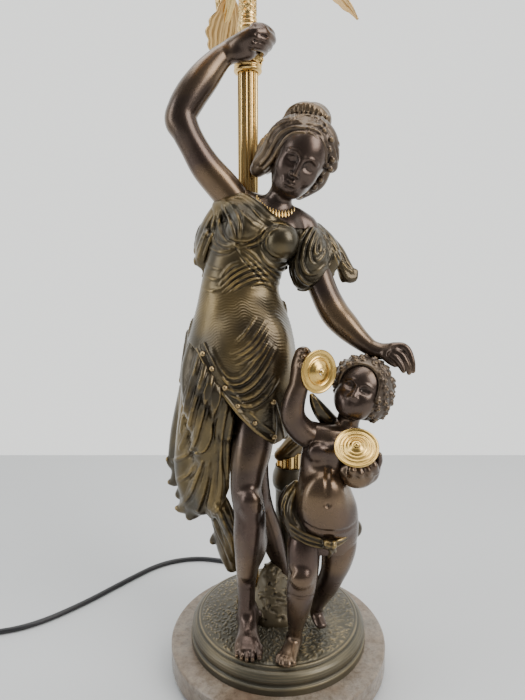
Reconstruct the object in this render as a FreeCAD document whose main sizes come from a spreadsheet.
import FreeCAD, Part

import math
import os

import Sketcher
from FreeCAD import Rotation, Vector

# A figural table lamp. A draped figure and a child stand on a round cast base over a stone plinth. The figure
# holds a fluted brass column, which carries a candelabra of three scroll arms with candle bulbs.
# Millimetres; +Z is up, the front faces -Y, and the origin is the middle of the felt's underside.

doc = FreeCAD.newDocument("figural_lamp")
sheet = doc.addObject("Spreadsheet::Sheet", "Sizes")


class Size:
    """A length together with the sheet formula that gives it."""

    def __init__(self, value, formula=None):
        self.value = float(value)
        self.formula = formula or repr(float(value))

    def __float__(self):
        return self.value

    def __neg__(self):
        return Size(-self.value, f"(0 - {self.formula})")

    def __add__(self, other):
        other = as_size(other)
        return Size(self.value + other.value, f"({self.formula} + {other.formula})")

    def __sub__(self, other):
        other = as_size(other)
        return Size(self.value - other.value, f"({self.formula} - {other.formula})")

    def __rsub__(self, other):
        return as_size(other) - self

    def __mul__(self, other):
        other = as_size(other)
        return Size(self.value * other.value, f"({self.formula} * {other.formula})")

    def __truediv__(self, other):
        other = as_size(other)
        return Size(self.value / other.value, f"({self.formula} / {other.formula})")

    __radd__ = __add__
    __rmul__ = __mul__


def as_size(number):
    return number if isinstance(number, Size) else Size(number)


rows = []


def size(alias, value):
    """A driving dimension: a plain number in the sheet under its own name."""
    rows.append(alias)
    row = len(rows)
    sheet.set(f"A{row}", alias)
    sheet.set(f"B{row}", str(value))
    sheet.setAlias(f"B{row}", alias)
    return Size(value, f"Sizes.{alias}")


# ---- driving dimensions: plinth and base

felt_margin = size("felt_margin", 4)
felt_thickness = size("felt_thickness", 2)
stone_radius = size("stone_radius", 103)
stone_thickness = size("stone_thickness", 22)
stone_edge = size("stone_edge", 2)
well_radius = size("well_radius", 21)
well_depth = size("well_depth", 15.5)
base_radius = size("base_radius", 84)
base_height = size("base_height", 20)
step_height = size("step_height", 6)
rim_step = size("rim_step", 2)
lip_width = size("lip_width", 4)
groove_width = size("groove_width", 6)
ground_height = size("ground_height", 2.5)
base_wall = size("base_wall", 4)

# ---- column, tie rod and candelabra

column_x = size("column_x", -28)
column_y = size("column_y", 22)
rod_radius = size("rod_radius", 5)
rod_bore = size("rod_bore", 3.2)
rod_clearance = size("rod_clearance", 0.2)
nut_width = size("nut_width", 14)
nut_height = size("nut_height", 5)
washer_radius = size("washer_radius", 11)
washer_thickness = size("washer_thickness", 1.5)
column_foot_radius = size("column_foot_radius", 12)
column_foot_height = size("column_foot_height", 18)
column_radius = size("column_radius", 9.2)
flute_radius = size("flute_radius", 1.5)
column_gap = size("column_gap", 0.3)
collar_height = size("collar_height", 7)
collar_radius = size("collar_radius", 12.7)
grip_height = size("grip_height", 506)
capital_height = size("capital_height", 22)
capital_radius = size("capital_radius", 12)
knop_height = size("knop_height", 14)
knop_radius = size("knop_radius", 9.5)
stem_height = size("stem_height", 38)
stem_radius = size("stem_radius", 8)
hub_height = size("hub_height", 36)
hub_radius = size("hub_radius", 18)
hub_wall = size("hub_wall", 2.5)
finial_height = size("finial_height", 46)
finial_radius = size("finial_radius", 12)
arm_reach = size("arm_reach", 88)
arm_radius = size("arm_radius", 4.5)
arm_drop = size("arm_drop", 26)
first_arm_angle = size("first_arm_angle", -10)
pan_radius = size("pan_radius", 22)
pan_height = size("pan_height", 9)
candle_radius = size("candle_radius", 12.5)
candle_wall = size("candle_wall", 1.2)
holder_radius = size("holder_radius", 10)
holder_height = size("holder_height", 48)
holder_bore = size("holder_bore", 7.2)
holder_floor = size("holder_floor", 12)
cap_radius = size("cap_radius", 7)
cap_height = size("cap_height", 26)
bulb_radius = size("bulb_radius", 17.5)
bulb_height = size("bulb_height", 72)

# ---- figure parts that fit something else

bolt_radius = size("bolt_radius", 2.5)
bolt_head_radius = size("bolt_head_radius", 4.5)
bolt_head_height = size("bolt_head_height", 3.5)
bolt_reach = size("bolt_reach", 10)
pedestal_radius = size("pedestal_radius", 19)
pedestal_height = size("pedestal_height", 150)
cymbal_radius = size("cymbal_radius", 17.5)
cymbal_rim = size("cymbal_rim", 1.6)
cymbal_dome_radius = size("cymbal_dome_radius", 7)
cymbal_dome_height = size("cymbal_dome_height", 4)
pin_radius = size("pin_radius", 1.2)
pin_clearance = size("pin_clearance", 0.05)
pin_head_radius = size("pin_head_radius", 2.4)
pin_grip = size("pin_grip", 8)
play = size("play", 0.3)

# ---- cord, its switch and its plug

cord_diameter = size("cord_diameter", 5.5)
lead_diameter = size("lead_diameter", 4.4)
exit_height = size("exit_height", 8.5)
bush_length = size("bush_length", 20)
bush_radius = size("bush_radius", 5.6)
bush_spigot = size("bush_spigot", 9)
spigot_radius = size("spigot_radius", 4)
bush_clearance = size("bush_clearance", 0.1)
switch_length = size("switch_length", 58)
switch_width = size("switch_width", 24)
switch_height = size("switch_height", 15)
rocker_length = size("rocker_length", 15)
rocker_width = size("rocker_width", 9)
rocker_pin = size("rocker_pin", 1.2)
coil_turns = size("coil_turns", 6.25)
coil_inner = size("coil_inner", 22)
coil_step = size("coil_step", 6.1)
plug_length = size("plug_length", 36)
plug_width = size("plug_width", 26)
plug_height = size("plug_height", 17.5)
plug_tail = size("plug_tail", 30)
plug_pin_radius = size("plug_pin_radius", 2)
plug_pin_length = size("plug_pin_length", 19)
plug_pin_spacing = size("plug_pin_spacing", 19)

# ---- levels that follow from them

felt_radius = stone_radius - felt_margin
rim_radius = base_radius - rim_step
lip_radius = rim_radius - lip_width
ground_radius = lip_radius - groove_width
stone_top = felt_thickness + stone_thickness
base_top = stone_top + base_height
ground = base_top + ground_height
collar_top = ground + grip_height
collar_bottom = collar_top - collar_height
capital_top = collar_top + capital_height
knop_top = capital_top + knop_height
stem_top = knop_top + stem_height
hub_top = stem_top + hub_height
bore_radius = rod_radius + rod_clearance
rod_bottom = felt_thickness + well_depth - washer_thickness - nut_height - 1
rod_top = stem_top + hub_wall + nut_height + 1

parts = {}

LOFT_DEGREE = 2  # a higher degree swings out between uneven sections


# ---- helpers

def bind(thing, prop, value):
    """Binds one property to the sheet."""
    thing.setExpression(prop, as_size(value).formula)


def put(thing, x=0, y=0, z=0):
    """Places an object at sizes from the sheet."""
    for letter, value in zip("xyz", (x, y, z)):
        bind(thing, f"Placement.Base.{letter}", value)
    return thing


def keep(node, thing):
    """Names a finished sub-part: its label is its file's name."""
    thing.Label = node
    parts[node] = thing
    return thing


def plane_of(body, role):
    return next(part for part in body.Origin.OriginFeatures if part.Role == role)


def draw(sketch, outline):
    """Draws a closed outline. A corner is (across, up), and may add (middle, turn): the edge that leads to it is
    then an arc whose middle lies at that distance across, anticlockwise for +1 and clockwise for -1."""
    corners = [(as_size(corner[0]), as_size(corner[1])) for corner in outline]
    starts, ends = [], []
    for i, corner in enumerate(outline):
        (x0, y0), (x1, y1) = [(p.value, q.value) for p, q in (corners[i - 1], corners[i])]
        if len(corner) == 2:
            edge = sketch.addGeometry(Part.LineSegment(Vector(x0, y0, 0), Vector(x1, y1, 0)))
            starts.append((edge, 1))
            ends.append((edge, 2))
            continue
        middle = as_size(corner[2])
        mx = middle.value
        my = ((x1 - mx) ** 2 - (x0 - mx) ** 2 + y1 ** 2 - y0 ** 2) / (2 * (y1 - y0))
        first = math.atan2(y0 - my, x0 - mx)
        last = math.atan2(y1 - my, x1 - mx)
        if corner[3] < 0:
            first, last = last, first
        circle = Part.Circle(Vector(mx, my, 0), Vector(0, 0, 1), math.hypot(x0 - mx, y0 - my))
        edge = sketch.addGeometry(Part.ArcOfCircle(circle, first, last if last > first else last + 2 * math.pi))
        starts.append((edge, 1 if corner[3] > 0 else 2))
        ends.append((edge, 2 if corner[3] > 0 else 1))
        if mx == 0:
            sketch.addConstraint(Sketcher.Constraint("PointOnObject", edge, 3, -2))
            continue
        number = sketch.addConstraint(Sketcher.Constraint("DistanceX", -1, 1, edge, 3, mx))
        bind(sketch, f"Constraints[{number}]", middle)
    for i, (x, y) in enumerate(corners):
        sketch.addConstraint(Sketcher.Constraint("Coincident", *ends[i], *starts[(i + 1) % len(corners)]))
        for kind, value, axis in (("DistanceX", x, -2), ("DistanceY", y, -1)):
            if value.formula == "0.0":
                sketch.addConstraint(Sketcher.Constraint("PointOnObject", *ends[i], axis))
                continue
            number = sketch.addConstraint(Sketcher.Constraint(kind, -1, 1, *ends[i], value.value))
            bind(sketch, f"Constraints[{number}]", value)


def sketched(label, role, outline):
    """A new body with one closed outline on an origin plane."""
    body = doc.addObject("PartDesign::Body", label)
    sketch = body.newObject("Sketcher::SketchObject", label + "_outline")
    sketch.AttachmentSupport = (plane_of(body, role), "")
    sketch.MapMode = "FlatFace"
    draw(sketch, outline)
    return body, sketch


def turned(label, outline, x=0, y=0, z=0):
    """A body turned about its own upright axis from corners of (radius, height)."""
    body, sketch = sketched(label, "XZ_Plane", outline)
    turn = body.newObject("PartDesign::Revolution", label + "_turn")
    turn.Profile = sketch
    turn.ReferenceAxis = (sketch, ["V_Axis"])
    turn.Angle = 360
    return put(body, x, y, z)


def padded(label, outline, height, x=0, y=0, z=0):
    """A plate with an outline of (x, y) corners and a height."""
    body, sketch = sketched(label, "XY_Plane", outline)
    pad = body.newObject("PartDesign::Pad", label + "_pad")
    pad.Profile = sketch
    bind(pad, "Length", height)
    return put(body, x, y, z)


def cylinder(label, radius, height, x=0, y=0, z=0):
    thing = doc.addObject("Part::Cylinder", label)
    bind(thing, "Radius", radius)
    bind(thing, "Height", height)
    return put(thing, x, y, z)


def cut(label, base, *tools):
    """The base with every tool taken out of it."""
    for number, tool in enumerate(tools):
        step = doc.addObject("Part::Cut", f"{label}_cut_{number}")
        step.Base = base
        step.Tool = tool
        base = step
    return base


def joined(label, *things):
    group = doc.addObject("Part::Compound", label + "_group")
    group.Links = list(things)
    return group


def shaped(label, shape):
    """A free form that the code below works out from its stations."""
    thing = doc.addObject("Part::Feature", label + "_form")
    thing.Shape = shape
    return thing


def frame(path, i, across):
    """The two directions of the section at point i of a path."""
    along = (path[min(i + 1, len(path) - 1)] - path[max(i - 1, 0)]).normalize()
    side = across - along * across.dot(along)
    side.normalize()
    return side, along.cross(side)


def ring(middle, side, depth, half_width, half_depth, folds=0, fold_depth=0.0):
    """A closed section. With folds it is that many short arcs, which bulge out between the valleys."""
    def point(angle, swell=1.0):
        return middle + side * (half_width * swell * math.cos(angle)) + depth * (half_depth * swell * math.sin(angle))

    if not folds:
        arcs, swell = 4, None
    else:
        arcs, swell = folds, 1.0 + fold_depth
    edges = []
    for k in range(arcs):
        a0 = 2 * math.pi * k / arcs
        a2 = 2 * math.pi * (k + 1) / arcs
        edges.append(Part.Arc(point(a0), point((a0 + a2) / 2, swell or 1.0), point(a2)).toShape())
    return Part.Wire(edges)


def limb(stations, across=Vector(1, 0, 0), folds=0, fold_depth=0.0):
    """A smooth tapering form through sections square to its path. A station is (x, y, height above the ground,
    half width, half depth)."""
    path = [Vector(s[0], s[1], s[2] + ground.value) for s in stations]
    wires = []
    for i, station in enumerate(stations):
        side, depth = frame(path, i, across)
        wires.append(ring(path[i], side, depth, station[3], station[-1], folds, fold_depth))
    return Part.makeLoft(wires, True, False, False, LOFT_DEGREE)


def trunk(stations, folds=0, fold_depth=0.0):
    """As limb, but each section's tilt is given: the degrees by which its right side is raised."""
    wires = []
    for x, y, height, half_width, half_depth, lean in stations:
        side = Vector(math.cos(math.radians(lean)), 0, math.sin(math.radians(lean)))
        middle = Vector(x, y, height + ground.value)
        wires.append(ring(middle, side, Vector(0, 1, 0), half_width, half_depth, folds, fold_depth))
    return Part.makeLoft(wires, True, False, False, LOFT_DEGREE)


def without(shape, *others):
    """A free form that stops face to face at its neighbours; only its largest piece is kept."""
    for other in others:
        shape = shape.cut(other)
    return max(shape.Solids, key=lambda solid: solid.Volume)


def upright(radius, low, high, x, y):
    """A plain upright cylinder between two levels, as a tool."""
    return Part.makeCylinder(float(radius), float(high) - float(low), Vector(float(x), float(y), float(low)))


# ---- plinth and base

felt = keep("felt_pad", cylinder("felt", felt_radius, felt_thickness))

stone_blank = turned("stone", [
    (0, 0),
    (stone_radius - stone_edge, 0),
    (stone_radius, stone_edge, stone_radius - stone_edge, 1),
    (stone_radius, stone_thickness - stone_edge),
    (stone_radius - stone_edge, stone_thickness, stone_radius - stone_edge, 1),
    (0, stone_thickness),
], z=felt_thickness)
rod_hole = cylinder("rod_hole", bore_radius, stone_thickness, column_x, column_y, felt_thickness)
well = cylinder("well", well_radius, well_depth, column_x, column_y, felt_thickness)
bush_hole = cylinder("bush_hole", spigot_radius + bush_clearance, stone_radius, column_x, column_y, exit_height)
bush_hole.Placement.Rotation = Rotation(Vector(1, 0, 0), -90)
keep("stone_plinth", cut("stone", stone_blank, rod_hole, well, bush_hole))

bronze_blank = turned("bronze", [
    (base_radius - base_wall, 0),
    (base_radius, 0),
    (base_radius, step_height),
    (base_radius - 4, step_height + 3, base_radius, -1),
    (rim_radius - 2, step_height + 4),
    (rim_radius - 2, base_height - 2, rim_radius - 4, 1),
    (lip_radius, base_height - 1),
    (lip_radius - 2, base_height - 2),
    (ground_radius + 1, base_height - 1),
    (ground_radius, base_height),
    (ground_radius - 4, base_height + ground_height, ground_radius - 4, 1),
    (0, base_height + ground_height),
    (0, base_height + ground_height - base_wall),
    (ground_radius - 4, base_height + ground_height - base_wall),
    (base_radius - base_wall - 6, base_height - base_wall),
    (base_radius - base_wall - 6, step_height),
], z=stone_top)
base_rod_hole = cylinder("base_rod_hole", bore_radius, base_height + ground_height, column_x, column_y, stone_top)

bolt_places = {"standing_foot": (-28.0, -44.0), "rock": (-4.0, 6.0), "child_foot": (13.5, -56.0)}
bolts = []
bolt_holes = []
for name, (bolt_x, bolt_y) in bolt_places.items():
    bolts.append(turned(f"bolt_{name}", [
        (0, 0),
        (bolt_head_radius, 0),
        (bolt_head_radius, bolt_head_height),
        (bolt_radius, bolt_head_height),
        (bolt_radius, bolt_head_height + base_wall + bolt_reach),
        (0, bolt_head_height + base_wall + bolt_reach),
    ], bolt_x, bolt_y, ground - base_wall - bolt_head_height))
    hole_level = ground - base_wall * 1.5
    bolt_holes.append(cylinder(f"bolt_hole_{name}", bolt_radius, base_wall * 2, bolt_x, bolt_y, hole_level))
keep("bronze_base", cut("bronze", bronze_blank, base_rod_hole, *bolt_holes))
keep("figure_bolts", joined("bolts", *bolts))

# ---- tie rod and its fixings, which clamp the column to the plinth

rod_blank = turned("rod", [
    (rod_bore, 0),
    (rod_radius, 0),
    (rod_radius, rod_top - rod_bottom),
    (rod_bore, rod_top - rod_bottom),
], column_x, column_y, rod_bottom)
keep("tie_rod", rod_blank)


def hexagon(width):
    """The corners of a nut, flats facing front and back."""
    return [(width / 2 * math.tan(math.pi / 6) * sx, width / 2 * sy) if kind else (width / math.sqrt(3) * sx, 0)
            for sx, sy, kind in ((1, 1, 1), (-1, 1, 1), (-1, 0, 0), (-1, -1, 1), (1, -1, 1), (1, 0, 0))]


fixings = []
washer_level = felt_thickness + well_depth - washer_thickness
for name, level in (("lower", washer_level - nut_height), ("upper", stem_top + hub_wall)):
    nut = padded(f"nut_{name}", hexagon(nut_width), nut_height, column_x, column_y, level)
    nut_bore = cylinder(f"nut_bore_{name}", rod_radius, nut_height, column_x, column_y, level)
    fixings.append(cut(f"nut_{name}", nut, nut_bore))
fixings.append(turned("washer", [
    (bore_radius, 0),
    (washer_radius, 0),
    (washer_radius, washer_thickness),
    (bore_radius, washer_thickness),
], column_x, column_y, washer_level))
keep("rod_fixings", joined("fixings", *fixings))

# ---- column, from its foot to the hub

keep("column_foot", turned("foot", [
    (bore_radius, 0),
    (column_foot_radius, 0),
    (column_foot_radius, 4),
    (column_foot_radius - 1, 8, column_foot_radius - 8.5, 1),
    (column_radius, column_foot_height - 3, column_foot_radius + 2, -1),
    (column_radius + 1, column_foot_height - 2),
    (column_radius + 1, column_foot_height),
    (bore_radius, column_foot_height),
], column_x, column_y, ground))

shaft_bottom = ground + column_foot_height
shaft_length = collar_bottom - shaft_bottom
shaft = turned("shaft", [
    (bore_radius, 0),
    (column_radius, 0),
    (column_radius, shaft_length),
    (bore_radius, shaft_length),
], column_x, column_y, shaft_bottom)
flute_sketch = shaft.newObject("Sketcher::SketchObject", "flute_outline")
flute_sketch.AttachmentSupport = (plane_of(shaft, "XY_Plane"), "")
flute_sketch.MapMode = "FlatFace"
flute_sketch.addGeometry(Part.Circle(Vector(9, 0, 0), Vector(0, 0, 1), 1.5))
flute_sketch.addConstraint(Sketcher.Constraint("PointOnObject", 0, 3, -1))
flute_sketch.addConstraint(Sketcher.Constraint("DistanceX", -1, 1, 0, 3, 9))
flute_sketch.addConstraint(Sketcher.Constraint("Radius", 0, 1.5))
bind(flute_sketch, "Constraints[1]", column_radius + flute_radius / 3)
bind(flute_sketch, "Constraints[2]", flute_radius)
doc.recompute()
plain_volume = shaft.Shape.Volume
flute = shaft.newObject("PartDesign::Pocket", "flute")
flute.Profile = flute_sketch
flute.Type = "ThroughAll"
flute.Reversed = True
flutes = shaft.newObject("PartDesign::PolarPattern", "flutes")
flutes.Originals = [flute]
flutes.Axis = (flute_sketch, ["N_Axis"])
flutes.Angle = 360
flutes.Occurrences = 12
shaft.Tip = flutes
doc.recompute()
if shaft.Shape.Volume >= plain_volume * 0.99:
    raise RuntimeError("the flutes cut nothing")
keep("column_shaft", shaft)

keep("column_collar", turned("collar", [
    (bore_radius, 0),
    (column_radius + 0.5, 0),
    (column_radius + 0.5, 0.5),
    (column_radius + 0.5, collar_height - 1, column_radius + 0.5, 1),
    (collar_radius, collar_height - 1),
    (collar_radius, collar_height),
    (bore_radius, collar_height),
], column_x, column_y, collar_bottom))

keep("leaf_capital", turned("capital", [
    (bore_radius, 0),
    (column_radius, 0),
    (capital_radius, capital_height * 0.8, capital_radius + 14, -1),
    (capital_radius - 1.5, capital_height),
    (bore_radius, capital_height),
], column_x, column_y, collar_top))

keep("column_knop", turned("knop", [
    (bore_radius, 0),
    (knop_radius - 3, 0),
    (knop_radius - 3, 2),
    (knop_radius - 3, knop_height - 3, knop_radius - 4, 1),
    (stem_radius, knop_height - 3),
    (stem_radius, knop_height),
    (bore_radius, knop_height),
], column_x, column_y, capital_top))

keep("candelabra_stem", turned("stem", [
    (bore_radius, 0),
    (stem_radius, 0),
    (stem_radius, 3),
    (stem_radius - 1, 4),
    (stem_radius - 1, stem_height - 4),
    (stem_radius + 1, stem_height - 2, stem_radius + 1, -1),
    (stem_radius + 1, stem_height),
    (bore_radius, stem_height),
], column_x, column_y, knop_top))

hub_outline = [
    (stem_radius + 1, 0),
    (hub_radius, hub_height * 0.45, stem_radius, 1),
    (hub_radius - 2, hub_height - 4, hub_radius - 30, 1),
    (hub_radius, hub_height - 3),
    (hub_radius, hub_height),
]
hub = turned("hub", [(bore_radius, 0), *hub_outline,
    (hub_radius - 2 - hub_wall, hub_height),
    (hub_radius - 2 - hub_wall, hub_height * 0.45),
    (nut_width / 2 + 3, hub_wall),
    (bore_radius, hub_wall),
], column_x, column_y, stem_top)
keep("candelabra_hub", hub)

keep("finial", turned("finial", [
    (0, 0),
    (hub_radius, 0),
    (hub_radius, 2),
    (finial_radius - 6, 8, hub_radius + 2, -1),
    (finial_radius - 6, finial_height - 10, finial_radius - 8, 1),
    (3, finial_height - 8),
    (3, finial_height - 3),
    (0, finial_height, 0, 1),
], column_x, column_y, hub_top))

block = doc.addObject("Part::Box", "block")
block_length = size("block_length", 18)
block_width = size("block_width", 12)
block_height = size("block_height", 10)
bind(block, "Length", block_length)
bind(block, "Width", block_width)
bind(block, "Height", block_height)
put(block, column_x - block_length / 2, column_y - block_width / 2, rod_top)
keep("terminal_block", block)

# ---- three scroll arms, each with its leaf, pan, candle and bulb

cup_level = hub_top - 4
pan_level = cup_level + 6
candle_level = pan_level + 2.5
holder_level = candle_level


def arm_shape(angle):
    """A scroll arm with its hanging leaf, cast in one, for the direction given in degrees."""
    turn = Rotation(Vector(0, 0, 1), angle)
    centre = Vector(column_x.value, column_y.value, 0)

    def place(out, height, aside=0.0):
        return centre + turn.multVec(Vector(out, aside, 0)) + Vector(0, 0, height)

    reach, drop, level = arm_reach.value, arm_drop.value, cup_level.value
    root = stem_top.value + hub_height.value * 0.5
    route = [
        place(hub_radius.value - 5, root),
        place(reach * 0.36, root + 3),
        place(reach * 0.56, root - drop * 0.6),
        place(reach * 0.84, root - drop),
        place(reach, level - 18),
        place(reach, level),
    ]
    aside = turn.multVec(Vector(0, 1, 0))
    wires = []
    for i in range(len(route)):
        side, depth = frame(route, i, aside)
        swell = (1.3, 1.0, 1.0, 1.0, 1.0, 1.2)[i]
        wires.append(ring(route[i], side, depth, arm_radius.value * swell, arm_radius.value * swell))
    arm = Part.makeLoft(wires, True, False, False, LOFT_DEGREE)
    cup = Part.makeCone(arm_radius.value, pan_radius.value * 0.5, 6, place(reach, level))
    spine = [
        place(reach * 0.62, root - drop * 0.8),
        place(reach * 0.78, root - drop - 8),
        place(reach * 0.92, root - drop - 18),
        place(reach * 1.02, root - drop - 28),
        place(reach * 1.08, root - drop - 37),
    ]
    leaf_rings = []
    for i, half_width in enumerate((8, 19, 17, 9, 1.5)):
        side, depth = frame(spine, i, aside)
        leaf_rings.append(ring(spine[i], side, depth, half_width, 2.2 if i < 4 else 1.2))
    leaf = Part.makeLoft(leaf_rings, True, False, False, LOFT_DEGREE)
    return arm.fuse([cup, leaf]).removeSplitter()


def pan_outline():
    return [
        (0, 0),
        (pan_radius * 0.5, 0),
        (pan_radius, pan_height, pan_radius * 0.45, 1),
        (pan_radius - 1.5, pan_height),
        (pan_radius * 0.5 + 2, 2.5, pan_radius * 0.45, -1),
        (0, 2.5),
    ]


bulbs = []
holders = []
caps = []
for number in range(3):
    angle = first_arm_angle + 120 * number
    theta = math.radians(angle.value)
    arm_x = column_x + arm_reach * Size(math.cos(theta), f"cos({angle.formula} * 1deg)")
    arm_y = column_y + arm_reach * Size(math.sin(theta), f"sin({angle.formula} * 1deg)")
    label = number + 1
    doc.recompute()
    solid_hub = turned(f"hub_envelope_{label}", [(0, 0), *hub_outline, (0, hub_height)], column_x, column_y, stem_top)
    arm = cut(f"arm_{label}", shaped(f"arm_{label}", arm_shape(angle.value)), solid_hub)
    keep(f"scroll_arm_{label}", arm)
    keep(f"drip_pan_{label}", turned(f"pan_{label}", pan_outline(), arm_x, arm_y, pan_level))
    keep(f"candle_sleeve_{label}", turned(f"candle_{label}", [
        (candle_radius - candle_wall, 0),
        (candle_radius, 0),
        (candle_radius, holder_height),
        (candle_radius - candle_wall, holder_height),
    ], arm_x, arm_y, candle_level))
    holders.append(turned(f"holder_{label}", [
        (0, 0),
        (holder_radius, 0),
        (holder_radius, holder_height),
        (holder_bore, holder_height),
        (holder_bore, holder_floor),
        (0, holder_floor),
    ], arm_x, arm_y, holder_level))
    cap_level = holder_level + holder_height - cap_height
    caps.append(turned(f"cap_{label}", [
        (0, 0),
        (cap_radius - 3, 0),
        (cap_radius, 3),
        (cap_radius, cap_height),
        (0, cap_height),
    ], arm_x, arm_y, cap_level))
    keep(f"bulb_{label}", turned(f"bulb_{label}", [
        (0, 0),
        (cap_radius, 0),
        (bulb_radius, bulb_height * 0.42, cap_radius - 14, 1),
        (3, bulb_height * 0.93, bulb_radius - 42, 1),
        (0, bulb_height),
    ], arm_x, arm_y, holder_level + holder_height))
keep("lampholders", joined("holders", *holders))
keep("bulb_caps", joined("caps", *caps))

# ---- pedestal behind the figures

PEDESTAL_PLACE = (14.0, 34.0)
pedestal_neck = pedestal_radius - 3
keep("pedestal", turned("pedestal", [
    (0, 0),
    (pedestal_radius, 0),
    (pedestal_radius, 6),
    (pedestal_neck, 12, pedestal_radius + 3, -1),
    (pedestal_neck, pedestal_height - 40),
    (pedestal_radius, pedestal_height - 34),
    (pedestal_radius, pedestal_height - 20, pedestal_neck - 2, 1),
    (pedestal_neck, pedestal_height - 18),
    (pedestal_neck, pedestal_height),
    (0, pedestal_height),
], *PEDESTAL_PLACE, ground))

# ---- figures: stations are (x, y, height above the ground, half width, half depth), front view
# The column's own envelope, and the floor, are taken out of every piece that meets them.

envelope = upright(column_radius + column_gap, ground + column_foot_height, collar_bottom, column_x, column_y)
foot_envelope = upright(column_foot_radius + column_gap, ground, ground + column_foot_height, column_x, column_y)
grip = upright(capital_radius + column_gap, collar_top, knop_top, column_x, column_y)
collar_envelope = upright(collar_radius + play * 2, collar_bottom - 5, collar_top + play, column_x, column_y)
floor = upright(stone_radius, 0, ground, 0, 0)
bolt_shanks = [upright(bolt_radius, ground, ground + bolt_reach, *place) for place in bolt_places.values()]

bodice = trunk([
    (-33, -10, 254, 46, 32, 0),
    (-32, -9, 280, 41, 30, 0),
    (-31, -8, 304, 37, 27, 0),
    (-32, -6, 326, 35, 26, -4),
    (-24, -8, 350, 37, 30, -10),
    (-15, -4, 372, 38, 25, -18),
    (-6, -1, 388, 28, 15, -22),
    (1, -3, 396, 12, 11, -22),
])

skirt = trunk([
    (-33, -10, 262, 47, 33, 0),
    (-31, -13, 240, 47, 35, -10),
    (-30, -18, 222, 40, 31, -30),
    (-29, -23, 214, 34, 27, -44),
], folds=14, fold_depth=0.05)
skirt = without(skirt, bodice)

standing_leg = limb([
    (-33, -12, 236, 19, 19),
    (-28, -30, 203, 18, 18),
    (-26, -40, 170, 16.6, 16.6),
    (-25, -47, 134, 14.2, 14.2),
    (-26, -42, 110, 14.6, 14.8),
    (-26, -38, 82, 11.6, 12),
    (-27, -36, 55, 8, 9),
    (-28, -37, 30, 8, 9),
])
standing_foot = limb([
    (-28, -30, 14, 8, 11),
    (-28, -42, 12, 9.5, 11),
    (-28, -56, 6, 12, 7),
    (-28, -66, 3, 11, 4),
])
standing_ankle = limb([
    (-28, -37, 34, 8, 9),
    (-28, -36, 22, 8.2, 10),
    (-28, -37, 6, 8.5, 12),
    (-28, -37, -2, 8, 11),
])
standing_leg = without(standing_leg.fuse([standing_ankle, standing_foot]), floor, bodice, skirt, *bolt_shanks)

trailing_leg = limb([
    (-8, -8, 240, 18, 18),
    (4, -18, 190, 17, 17),
    (8, -16, 150, 14, 14),
    (5, -8, 120, 13.5, 13.5),
    (-2, 0, 80, 11, 11),
    (-7, 6, 48, 7.5, 8),
    (-8, 8, 32, 8, 9),
])

hanging_drape = trunk([
    (-58, 2, 262, 30, 22, 0),
    (-63, 4, 210, 29, 20, 0),
    (-72, 8, 152, 32, 18, 8),
    (-70, 10, 112, 28, 15, 14),
    (-60, 12, 82, 19, 12, 20),
    (-52, 14, 58, 11, 9, 20),
    (-46, 16, 40, 6, 6, 20),
], folds=9, fold_depth=0.16)
hanging_drape = without(hanging_drape, bodice, skirt, standing_leg, envelope, foot_envelope)

back_drape = trunk([
    (-46, 14, 384, 9, 9, -20),
    (-57, 15, 362, 14, 10, -20),
    (-63, 14, 340, 15, 10, -10),
    (-65, 12, 324, 12, 8, 0),
    (-62, 10, 312, 7, 6, 0),
], folds=6, fold_depth=0.14)
back_drape = without(back_drape, bodice, envelope)

bodice = without(bodice, envelope)
skirt = without(skirt, envelope)

woman_head = trunk([
    (10, -20, 389, 9, 12, -27),
    (12, -12, 399, 21, 23, -27),
    (15, -6, 412, 32, 28, -27),
    (20, -1, 428, 34, 30, -27),
    (24, 3, 445, 29, 27, -27),
    (26, 5, 458, 19, 18, -27),
    (27, 5, 466, 9, 9, -27),
])
woman_neck = limb([
    (2, -4, 384, 11, 11),
    (7, -6, 396, 10.5, 10.5),
    (13, -6, 408, 11, 11),
])
woman_head = without(woman_head.fuse(woman_neck), bodice, envelope)

hand_height = grip_height.value + 10
raised_arm = limb([
    (-38, 4, 382, 17, 17),
    (-46, 4, 394, 16, 16),
    (-64, -1, 420, 12.8, 12.8),
    (-80, -5, 442, 13.4, 13.4),
    (-78, -2, 462, 13.6, 13.6),
    (-66, 3, 482, 12, 12),
    (-52, 8, 502, 9.6, 9.6),
    (column_x.value - 15, column_y.value - 13, hand_height + 2, 9, 11),
    (column_x.value - 3, column_y.value - 16, hand_height + 9, 13, 14),
    (column_x.value + 12, column_y.value - 15, hand_height + 12, 12, 13),
    (column_x.value + 23, column_y.value - 12, hand_height + 10, 7, 8),
], across=Vector(0, 1, 0))
raised_arm = without(raised_arm, bodice, back_drape, envelope, grip, collar_envelope)

lowered_arm = limb([
    (22, 1, 362, 15, 15),
    (34, -4, 338, 14, 14),
    (44, -9, 315, 13, 13),
    (52, -16, 296, 12.6, 12.6),
    (62, -24, 281, 11, 11),
    (70, -30, 268, 9, 9),
    (78, -35, 262, 7.4, 7.4),
    (88, -38, 262, 7, 9.5),
    (98, -40, 259, 6.5, 9.5),
    (105, -43, 250, 5, 7),
    (110, -45, 241, 3, 4),
], across=Vector(0, 1, 0))

sleeve = limb([
    (12, -1, 374, 19, 17),
    (25, -3, 357, 24, 21),
    (36, -6, 337, 26, 23),
    (45, -9, 319, 22, 20),
], folds=11, fold_depth=0.12)
sleeve_tail = trunk([
    (40, 8, 352, 9, 7, -40),
    (53, 12, 336, 8, 5, -40),
    (63, 14, 324, 6, 4, -30),
    (68, 13, 322, 3, 3, 0),
])
sleeve = without(sleeve.fuse(sleeve_tail), bodice)
lowered_arm = without(lowered_arm, bodice, sleeve)

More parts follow.
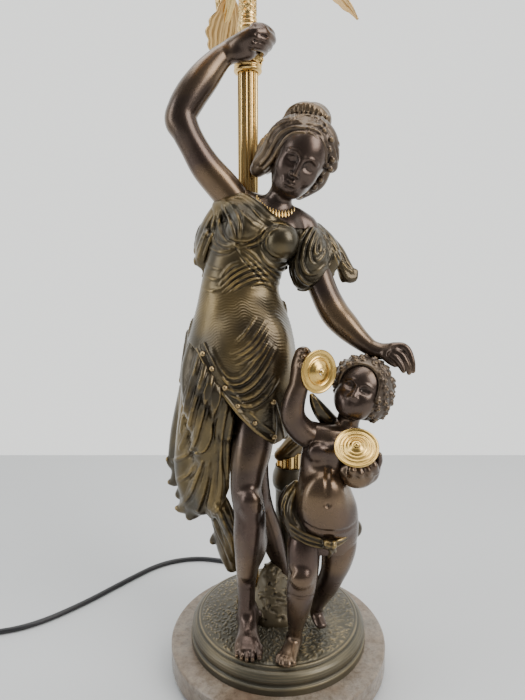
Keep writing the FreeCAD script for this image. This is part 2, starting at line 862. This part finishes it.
child_body = trunk([
    (39, -48, 90, 21, 18, 0),
    (39, -50, 108, 24.5, 20, 0),
    (38, -54, 125, 25.5, 21.5, 0),
    (37, -55, 141, 24.5, 22, 0),
    (35, -52, 158, 21.5, 18.5, 4),
    (36, -50, 173, 20.5, 16, 6),
    (42, -48, 188, 20, 14, 10),
    (50, -46, 198, 12, 11, 14),
    (53, -45, 206, 9, 9, 18),
])
child_head = trunk([
    (54, -45, 204, 10, 10, 0),
    (57, -49, 209, 15, 16, 0),
    (60, -47, 217, 21.5, 22, -8),
    (63, -45, 229, 24.5, 24, -14),
    (68, -43, 242, 21, 21, -20),
    (72, -41, 252, 10, 10, -22),
])
child_head = without(child_head, child_body)
child_right_arm = limb([
    (27, -47, 190, 12, 12),
    (15, -51, 198, 11.6, 11.6),
    (6, -54, 208, 10.8, 10.8),
    (8, -56, 222, 9.6, 9.6),
    (13, -57, 234, 8, 8),
    (17, -56, 244, 9, 9),
    (20, -55, 253, 7, 7),
], across=Vector(0, 1, 0))
child_left_arm = limb([
    (56, -44, 192, 11, 11),
    (67, -42, 179, 10.5, 10.5),
    (74, -46, 168, 9.5, 9.5),
    (71, -56, 164, 9.5, 9.5),
    (66, -62, 169, 9.5, 9.5),
    (62, -65, 174, 9.5, 9.5),
    (60, -68.5, 180, 8.5, 8.5),
    (59, -71, 184, 6.5, 6.5),
])
child_right_leg = limb([
    (21, -54, 114, 14, 14),
    (18.5, -60, 100, 14, 14),
    (18, -62, 85, 13.2, 13.2),
    (18, -62, 72, 12, 12),
    (16, -62, 55, 11.4, 11.4),
    (15, -58, 43, 9.5, 9.5),
    (14, -55, 30, 8.2, 8.2),
    (14, -54, 18, 6.8, 7.2),
    (13.5, -55, 8, 6.6, 8),
    (13.5, -55, -2, 6, 8),
])
child_right_foot = limb([
    (14, -52, 7, 6, 6.5),
    (10, -61, 6, 7.5, 5.5),
    (5, -70, 2.5, 7, 3),
])
child_left_leg = limb([
    (48, -50, 114, 14, 14),
    (51, -50, 98, 14.4, 14.4),
    (51, -49, 82, 13, 13),
    (50, -47, 66, 11.3, 11.3),
    (46, -40, 50, 9.4, 9.4),
    (42, -34, 35, 8, 8),
    (39, -31, 20, 6.6, 6.8),
    (37, -33, 9, 6.4, 7.4),
    (36, -36, -1, 5.6, 8),
])
loincloth = trunk([
    (38, -51, 84, 27, 23, 0),
    (38, -52, 96, 30, 26, 0),
    (37, -53, 108, 29, 25, 0),
], folds=12, fold_depth=0.06)
side_cloth = trunk([
    (13, -44, 96, 6, 9, 0),
    (10, -42, 120, 7, 9, 0),
    (12, -40, 142, 8, 8, 0),
    (17, -40, 152, 5, 5, 0),
])
loincloth = without(loincloth.fuse(side_cloth), standing_leg)
child_body = without(child_body, loincloth)
child_right_leg = child_right_leg.fuse(child_right_foot)
child_right_leg = without(child_right_leg, floor, loincloth, child_body, *bolt_shanks)
child_left_leg = without(child_left_leg, floor, loincloth, child_body, child_right_leg)
child_right_arm = without(child_right_arm, child_body, child_head, skirt, bodice)
child_left_arm = without(child_left_arm, child_body, child_head)


rock = trunk([
    (-4, 0, -1, 27, 20, 0),
    (-5, 1, 12, 23, 18, 0),
    (-6, 4, 24, 15, 13, 0),
    (-7, 6, 32, 9, 9, 0),
], folds=7, fold_depth=0.1)
pedestal_envelope = upright(pedestal_radius, ground, ground + pedestal_height, *PEDESTAL_PLACE)
trailing_leg = without(trailing_leg, bodice, skirt, standing_leg, envelope, pedestal_envelope, hanging_drape)
rock = without(
    rock, floor, standing_leg, trailing_leg, child_right_leg, foot_envelope, pedestal_envelope, *bolt_shanks
)

# ---- cymbals on their pins, one to each hand of the child
# A place is the middle of the cymbal's back and the direction in which it faces.

CYMBAL_PLACES = {
    "upper": (Vector(28.5, -65.5, 247), Vector(0.55, -0.83, 0.05)),
    "lower": (Vector(58.5, -77, 188), Vector(-0.1, -0.65, 0.75)),
}


def facing(point, direction, back=0.0):
    """The placement of a piece whose own +Z is to face a direction."""
    unit = Vector(direction).normalize()
    at = Vector(point.x, point.y, point.z + ground.value) - unit * back
    return FreeCAD.Placement(at, Rotation(Vector(0, 0, 1), unit))


def aim(thing, place, back):
    """Places a sheet-bound piece along a cymbal's own axis."""
    point, direction = place
    unit = Vector(direction).normalize()
    thing.Placement = facing(point, direction, float(back))
    put(thing, point.x - as_size(back) * unit.x, point.y - as_size(back) * unit.y,
        point.z + ground - as_size(back) * unit.z)
    return thing


hands = {"upper": child_right_arm, "lower": child_left_arm}
pins = []
pin_hole = pin_radius + pin_clearance
seat = cymbal_dome_height + cymbal_rim
for name, place in CYMBAL_PLACES.items():
    cymbal = turned(f"cymbal_{name}", [
        (pin_hole, cymbal_dome_height - 1),
        (cymbal_dome_radius, 0, pin_hole - 3, -1),
        (cymbal_radius, 0),
        (cymbal_radius, cymbal_rim),
        (cymbal_dome_radius, cymbal_rim),
        (pin_hole, seat, pin_hole - 3, 1),
    ])
    keep(f"cymbal_{name}", aim(cymbal, place, 0))
    pin = turned(f"pin_{name}", [
        (0, 0),
        (pin_radius, 0),
        (pin_radius, pin_grip + seat + play),
        (pin_head_radius, pin_grip + seat + play),
        (0, pin_grip + seat + play + 1.6, 0, 1),
    ])
    pins.append(aim(pin, place, pin_grip))
    swept = Part.makeCylinder(cymbal_radius.value + 1, 14)
    swept.Placement = facing(*place, play.value)
    shank = Part.makeCylinder(pin_radius.value, pin_grip.value + 1)
    shank.Placement = facing(*place, pin_grip.value)
    boss = Part.makeCylinder(pin_head_radius.value + 1, pin_grip.value - play.value)
    boss.Placement = facing(*place, pin_grip.value)
    hands[name] = without(hands[name].cut(swept).fuse(boss), shank)
    child_head = without(child_head, swept)
    child_body = without(child_body, swept)
keep("cymbal_pins", joined("pins", *pins))
child_right_arm, child_left_arm = hands["upper"], hands["lower"]

FIGURE_FORMS = {
    "dress_bodice": bodice,
    "dress_skirt": skirt,
    "hanging_drape": hanging_drape,
    "back_drape": back_drape,
    "woman_head": woman_head,
    "raised_arm": raised_arm,
    "lowered_arm": lowered_arm,
    "sleeve": sleeve,
    "standing_leg": standing_leg,
    "trailing_leg": trailing_leg,
    "child_body": child_body,
    "child_head": child_head,
    "child_right_arm": child_right_arm,
    "child_left_arm": child_left_arm,
    "child_right_leg": child_right_leg,
    "child_left_leg": child_left_leg,
    "loincloth": loincloth,
    "rock_outcrop": rock,
}
for name, form in FIGURE_FORMS.items():
    keep(name, shaped(name, form))

# ---- cord: bush, lead, switch, coil and plug


def tube(route, diameter, label):
    """A round tube of straight runs and tangent arcs. Each arc is as large as its two runs allow."""
    edges = []
    last = route[0]
    radii = []
    for before, corner, after in zip(route, route[1:], route[2:]):
        to_before = (before - corner).normalize()
        to_after = (after - corner).normalize()
        shorter = min((before - corner).Length, (after - corner).Length)
        turn = math.pi - to_before.getAngle(to_after)
        reach = 0.45 * shorter
        radius = reach / math.tan(turn / 2)
        radii.append(round(radius, 1))
        first = corner + to_before * reach
        second = corner + to_after * reach
        inward = (to_before + to_after).normalize()
        middle = corner + inward * (radius / math.cos(turn / 2) - radius)
        edges.append(Part.LineSegment(last, first).toShape())
        edges.append(Part.Arc(first, middle, second).toShape())
        last = second
    edges.append(Part.LineSegment(last, route[-1]).toShape())
    path = Part.Wire(edges)
    start = (route[1] - route[0]).normalize()
    profile = Part.Wire(Part.Circle(route[0], start, diameter / 2).toShape())
    solid = path.makePipeShell([profile], True, False)
    expected = math.pi * diameter ** 2 / 4 * path.Length
    print(f"{label}: length {path.Length:.0f} mm, radii {radii}, volume {solid.Volume / expected:.4f} of expected")
    return solid


wire_x = column_x.value
bush_back = math.sqrt(stone_radius.value ** 2 - (wire_x + bush_radius.value) ** 2)
bush = turned("bush", [
    (lead_diameter / 2, 0),
    (spigot_radius, 0),
    (spigot_radius, bush_spigot),
    (bush_radius, bush_spigot),
    (bush_radius, bush_spigot + 4),
    (cord_diameter / 2 + 0.8, bush_spigot + bush_length),
    (lead_diameter / 2, bush_spigot + bush_length),
])
bush.Placement.Rotation = Rotation(Vector(1, 0, 0), -90)
back_edge = Size(bush_back, f"sqrt({stone_radius.formula}^2 - ({column_x.formula} + {bush_radius.formula})^2)")
put(bush, column_x, back_edge - bush_spigot + bush_clearance * 2, exit_height)
keep("cord_bush", bush)
exit_y = bush_back + bush_clearance.value * 2 + bush_length.value

lead_level = exit_height.value
lead_low = felt_thickness.value + lead_diameter.value / 2 + 0.4
axis_y = column_y.value
inner_route = [
    Vector(wire_x, exit_y, lead_level),
    Vector(wire_x, axis_y + 22, lead_level),
    Vector(wire_x, axis_y + 11, lead_low),
    Vector(wire_x, axis_y, lead_low),
    Vector(wire_x, axis_y, rod_bottom.value + 6),
    Vector(wire_x, axis_y, rod_top.value),
]
inner_bend = inner_route[:5]
inner = tube(inner_bend, lead_diameter.value, "inner lead")
riser = Part.makeCylinder(lead_diameter.value / 2, inner_route[5].z - inner_route[4].z, inner_route[4])
keep("inner_lead", shaped("inner_lead", inner.fuse(riser).removeSplitter()))

floor_level = cord_diameter.value / 2
LEAD_POINTS = [
    (-29, 139, 4.4),
    (-41, 158, 2.75),
    (-66, 172, 2.75),
    (-103, 180, 2.75),
    (-143, 163, 2.75),
    (-178, 118, 2.75),
    (-218, 72, 2.75),
    (-262, 40, 2.75),
    (-303, 29, 2.75),
    (-328, 23, 4.0),
    (-343, 7, 5.8),
]
SWITCH_START = Vector(-347.5, -15, 7.5)
SWITCH_ANGLE = -100.0
lead_start = Vector(wire_x, exit_y, lead_level)
lead_straight = Vector(wire_x, exit_y + 4, lead_level)
lead_route = [lead_start, lead_straight] + [Vector(*point) for point in LEAD_POINTS] + [SWITCH_START]
keep("cord_lead", shaped("cord_lead", tube(lead_route, cord_diameter.value, "cord lead")))

# The switch's own +X runs along the cord, from its entry.

half_switch = switch_width / 2
switch_outline = [
    (0, -4.5),
    (6, -half_switch),
    (switch_length - 6, -half_switch),
    (switch_length, -4.5),
    (switch_length, 4.5),
    (switch_length - 6, half_switch),
    (6, half_switch),
    (0, 4.5),
]


def along_cord(thing, x, y, z):
    """Places a piece in the switch's own frame; x is along the cord."""
    turn = math.radians(SWITCH_ANGLE)
    thing.Placement = FreeCAD.Placement(Vector(0, 0, 0), Rotation(Vector(0, 0, 1), SWITCH_ANGLE))
    put(thing, SWITCH_START.x + as_size(x) * math.cos(turn) - as_size(y) * math.sin(turn),
        SWITCH_START.y + as_size(x) * math.sin(turn) + as_size(y) * math.cos(turn), z)
    return thing


case = along_cord(padded("switch_case", switch_outline, switch_height), 0, 0, 0)
pivot_height = switch_height - 2.5
hollow = doc.addObject("Part::Box", "rocker_hollow")
bind(hollow, "Length", rocker_length + play * 4)
bind(hollow, "Width", rocker_width + play * 2)
bind(hollow, "Height", switch_height)
along_cord(hollow, switch_length / 2 - rocker_length / 2 - play * 2, -(rocker_width / 2) - play, pivot_height - 5)


def cross_pin(label, radius, length):
    """A pin across the switch, through the rocker's pivot."""
    pin = doc.addObject("Part::Cylinder", label)
    bind(pin, "Radius", radius)
    bind(pin, "Height", length)
    along_cord(pin, switch_length / 2, length / 2, pivot_height)
    pin.Placement.Rotation = Rotation(Vector(0, 0, 1), SWITCH_ANGLE).multiply(Rotation(Vector(1, 0, 0), 90))
    return pin


socket = cross_pin("rocker_socket", rocker_pin + pin_clearance, rocker_width + 5)
keep("switch_housing", cut("switch", case, hollow, socket))

half_rocker = rocker_length / 2
rocker_blank, rocker_sketch = sketched("rocker", "XZ_Plane", [
    (-half_rocker, 0),
    (-4, -3),
    (4, -3),
    (half_rocker, 0),
    (half_rocker, 3.5),
    (0, 2.2),
    (-half_rocker, 3.5),
])
rocker_pad = rocker_blank.newObject("PartDesign::Pad", "rocker_pad")
rocker_pad.Profile = rocker_sketch
bind(rocker_pad, "Length", rocker_width)
rocker_pad.Midplane = True
along_cord(rocker_blank, switch_length / 2, 0, pivot_height)
rocker = doc.addObject("Part::Fuse", "rocker_with_pin")
rocker.Base = rocker_blank
rocker.Tool = cross_pin("rocker_pin_rod", rocker_pin, rocker_width + 4)
keep("switch_rocker", rocker)

# From the switch the cord runs to the coil, which lies out of the way with the plug beside it.

switch_way = Vector(math.cos(math.radians(SWITCH_ANGLE)), math.sin(math.radians(SWITCH_ANGLE)), 0)
middle_start = SWITCH_START + switch_way * switch_length.value
COIL_ENTRY = Vector(-360.5, -117.5, 0)
COIL_START = 180.0
coil_outer = coil_inner + coil_step * coil_turns / 2
coil_middle = COIL_ENTRY + Vector(coil_outer.value, 0, 0)


def coil_point(turn):
    """The coil's centreline after a number of turns: it spirals in on the floor, climbs a layer where it reverses,
    and spirals out again on top."""
    half = coil_turns.value / 2
    inward = min(turn, half)
    outward = max(turn - half, 0)
    radius = coil_outer.value - coil_step.value * inward + coil_step.value * outward
    climb = min(max((turn - half + 0.25) / 0.5, 0), 1)
    level = floor_level + coil_step.value * climb * climb * (3 - 2 * climb)
    angle = math.radians(COIL_START) + 2 * math.pi * turn
    return coil_middle + Vector(radius * math.cos(angle), radius * math.sin(angle), level)


def biarc(start, start_way, end, end_way):
    """Two arcs that leave one point and reach the next along given directions."""
    chord = end - start
    ways = start_way + end_way
    a = 2 * (1 - start_way.dot(end_way))
    b = 2 * chord.dot(ways)
    c = -chord.dot(chord)
    reach = -c / b if abs(a) < 1e-9 else (-b + math.sqrt(b * b - 4 * a * c)) / (2 * a)
    joint = (start + start_way * reach + end - end_way * reach) * 0.5
    arcs = []
    for first, last, corner in ((start, joint, start + start_way * reach), (joint, end, end - end_way * reach)):
        middle = (first + last) * 0.5
        half = (last - first).Length / 2
        edge = (corner - first).Length
        arcs.append(Part.Arc(first, middle + (corner - middle) * (half / (edge + half)), last).toShape())
    return arcs


def coil_way(turn):
    step = 1e-4
    return (coil_point(turn + step) - coil_point(turn - step)).normalize()


quarter = 0.25
steps = int(round(coil_turns.value / quarter))
edges = []
flat_start = Vector(coil_way(0).x, coil_way(0).y, 0).normalize()
flat_end = Vector(coil_way(coil_turns.value).x, coil_way(coil_turns.value).y, 0).normalize()
coil_in = coil_point(0) - flat_start * cord_diameter.value
edges.append(Part.LineSegment(coil_in, coil_point(0)).toShape())
ways = [flat_start] + [coil_way(i * quarter) for i in range(1, steps)] + [flat_end]
for i in range(steps):
    edges += biarc(coil_point(i * quarter), ways[i], coil_point((i + 1) * quarter), ways[i + 1])
coil_end = coil_point(coil_turns.value)
coil_out = coil_end + flat_end * plug_tail.value
edges.append(Part.LineSegment(coil_end, coil_out).toShape())
coil_path = Part.Wire(edges)
coil_profile = Part.Wire(Part.Circle(coil_in, flat_start, cord_diameter.value / 2).toShape())
coil = coil_path.makePipeShell([coil_profile], True, False)
samples = coil_path.discretize(Distance=2.0)
least = min(
    (samples[i] - samples[j]).Length
    for i in range(len(samples))
    for j in range(i + 12, len(samples))
)
ratio = coil.Volume / (math.pi * cord_diameter.value ** 2 / 4 * coil_path.Length)
print(f"coil: length {coil_path.Length:.0f} mm, least gap {least - cord_diameter.value:.2f} mm, volume {ratio:.4f}")
keep("cord_coil", shaped("cord_coil", coil))

middle_route = [
    middle_start + switch_way * 0.6,
    middle_start + switch_way * 13 + Vector(0, 0, -2.3),
    Vector(coil_in.x, coil_in.y + 14, floor_level),
    coil_in,
]
keep("cord_middle", shaped("cord_middle", tube(middle_route, cord_diameter.value, "cord middle")))

# The plug's own +X runs on from the cord; its pins are two separate solids.

plug_turn = Rotation(Vector(1, 0, 0), flat_end)
plug_level = coil_out.z - plug_height / 2
plug_outline = [
    (0, -5),
    (8, -(plug_width / 2)),
    (plug_length - 10, -(plug_width / 2)),
    (plug_length, -(plug_width / 2) + 4),
    (plug_length, plug_width / 2 - 4),
    (plug_length - 10, plug_width / 2),
    (8, plug_width / 2),
    (0, 5),
]
plug = padded("plug_body", plug_outline, plug_height, coil_out.x, coil_out.y, plug_level)
plug.Placement.Rotation = plug_turn
keep("plug", plug)
prongs = []
for side in (-1, 1):
    prong = doc.addObject("Part::Cylinder", f"prong_{side + 1}")
    bind(prong, "Radius", plug_pin_radius)
    bind(prong, "Height", plug_pin_length)
    aside = plug_turn.multVec(Vector(0, 1, 0))
    put(prong, coil_out.x + plug_length * flat_end.x + plug_pin_spacing * (side * aside.x / 2),
        coil_out.y + plug_length * flat_end.y + plug_pin_spacing * (side * aside.y / 2), coil_out.z)
    prong.Placement.Rotation = plug_turn.multiply(Rotation(Vector(0, 1, 0), 90))
    prongs.append(prong)
keep("plug_pins", joined("prongs", *prongs))

# ---- check and write

doc.recompute()
for thing in doc.Objects:
    if {"Invalid", "Error"} & set(thing.State):
        raise RuntimeError(f"{thing.Label} failed: {thing.State}")
os.makedirs("parts", exist_ok=True)
for node, thing in parts.items():
    shape = thing.Shape
    if shape.isNull() or not shape.isValid() or not shape.Solids:
        raise RuntimeError(f"{node} has no valid solid")
    shape.exportStep(f"parts/{node}.step")
    print(f"{node}: {len(shape.Solids)} solid(s), {shape.Volume / 1000:.1f} cm3")
print(f"{len(parts)} nodes")
